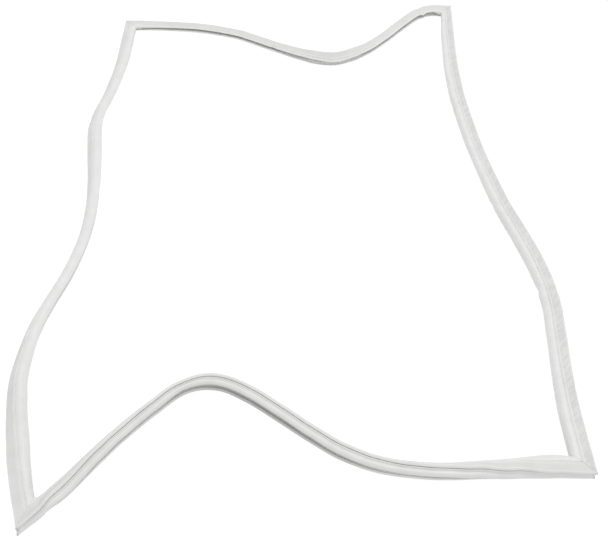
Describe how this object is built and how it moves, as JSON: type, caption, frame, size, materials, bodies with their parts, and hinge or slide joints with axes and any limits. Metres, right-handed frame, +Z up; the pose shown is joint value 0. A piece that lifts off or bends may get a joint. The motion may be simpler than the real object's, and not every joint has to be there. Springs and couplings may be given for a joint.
{
  "type": "refrigerator door gasket",
  "caption": "Closed loop of soft white door seal extrusion with mitred corners, a magnet chamber under its face, bellows and a push-in dart, lying slack.",
  "frame": {"origin": "centre of the loop's bounding box, at the surface it lies on", "axes": "+X across the loop's short way, +Y along its long way, away from the viewer, +Z up out of the sealing face"},
  "size_m": [0.687, 1.061, 0.0256],
  "materials": {
    "white_soft_pvc": "satin",
    "magnet_compound": "matte"
  },
  "bodies": {
    "root": {"gasket_frame": "white_soft_pvc", "magnet_strip_near": "magnet_compound", "magnet_strip_right": "magnet_compound", "magnet_strip_far": "magnet_compound", "magnet_strip_left": "magnet_compound"}
  },
  "joints": []
}
